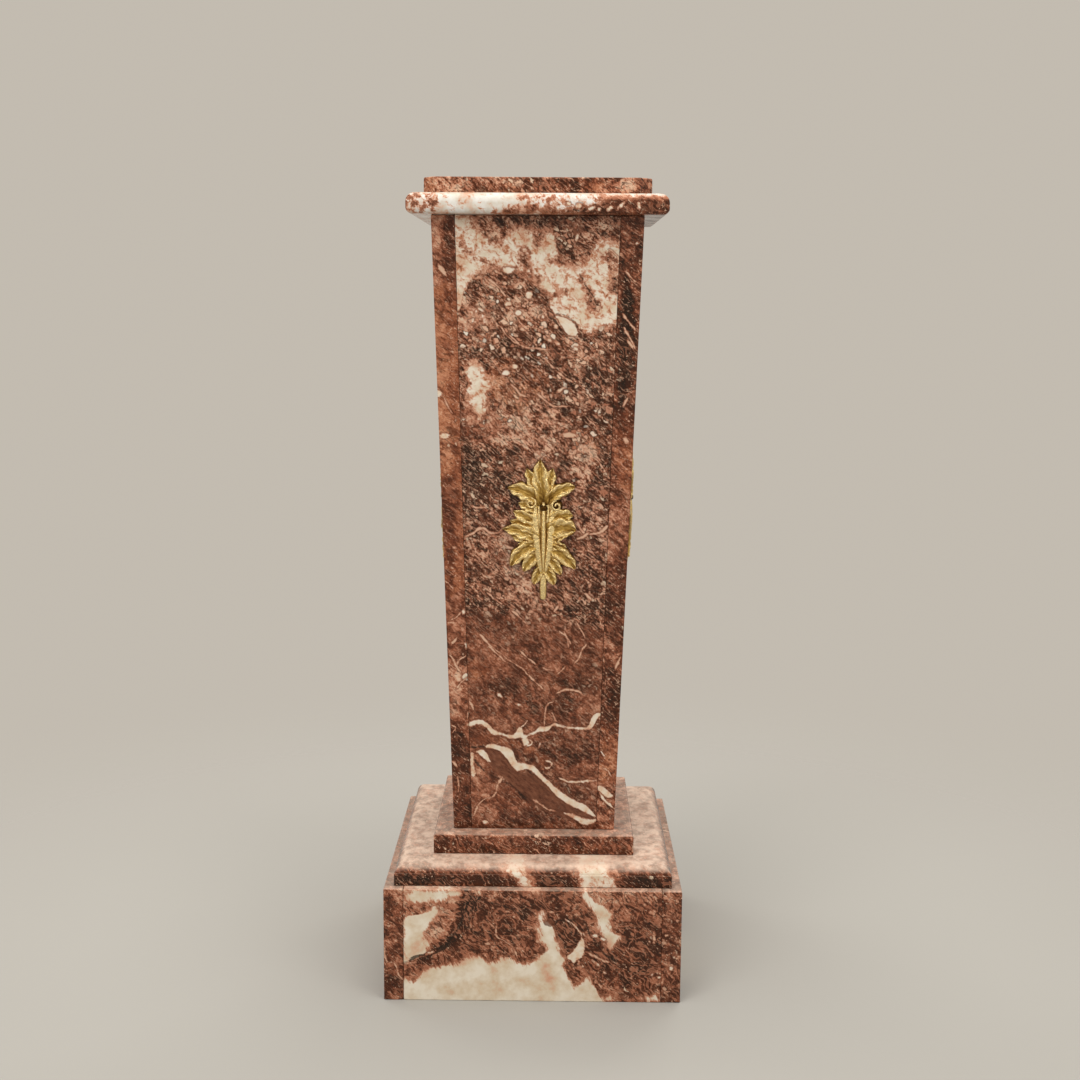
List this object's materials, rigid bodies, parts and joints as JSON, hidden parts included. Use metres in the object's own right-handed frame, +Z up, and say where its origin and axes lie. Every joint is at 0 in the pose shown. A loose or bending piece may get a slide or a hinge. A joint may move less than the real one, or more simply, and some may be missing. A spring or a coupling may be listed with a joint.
{
  "type": "pedestal column stand",
  "caption": "Square marble pedestal: a hollow base block, a moulded tier, a shaft that widens upwards and carries gilt leaf castings, a cornice and a flat top slab.",
  "frame": {"origin": "centre of the footprint on the floor", "axes": "+Z up the shaft, -Y out of the front face, +X to the right as seen from the front"},
  "size_m": [0.366, 0.366, 1],
  "materials": {
    "brown_marble": "polished dark red-brown marble with fine cream specks and veins",
    "red_marble": "polished red-brown breccia with cream veins and patches",
    "cream_marble": "polished marble, cream at one end and dark brown at the other",
    "gilt_brass": "gilt cast brass, burnished on its high places",
    "steel": "plain zinc-plated steel"
  },
  "bodies": {
    "root": {"base_left_slab": "brown_marble", "base_right_slab": "brown_marble", "base_front_left_block": "brown_marble", "base_front_right_block": "brown_marble", "base_back_left_block": "brown_marble", "base_back_right_block": "brown_marble", "base_moulding": "brown_marble", "plinth_step": "brown_marble", "shaft_front_left_post": "brown_marble", "shaft_front_right_post": "brown_marble", "shaft_back_right_post": "brown_marble", "shaft_back_left_post": "brown_marble", "shaft_foot_plate": "brown_marble", "shaft_head_plate": "brown_marble", "base_front_slab": "red_marble", "base_back_slab": "red_marble", "shaft_front_panel": "red_marble", "shaft_right_panel": "red_marble", "shaft_back_panel": "red_marble", "shaft_left_panel": "red_marble", "top_slab": "red_marble", "cornice_slab": "cream_marble", "front_mount": "gilt_brass", "right_mount": "gilt_brass", "left_mount": "gilt_brass", "tie_rod": "steel", "lower_bearing_plate": "steel", "lower_nut": "steel", "upper_washer": "steel", "upper_nut": "steel", "front_mount_upper_nut": "steel", "front_mount_lower_nut": "steel", "right_mount_upper_nut": "steel", "right_mount_lower_nut": "steel", "left_mount_upper_nut": "steel", "left_mount_lower_nut": "steel"}
  },
  "joints": []
}
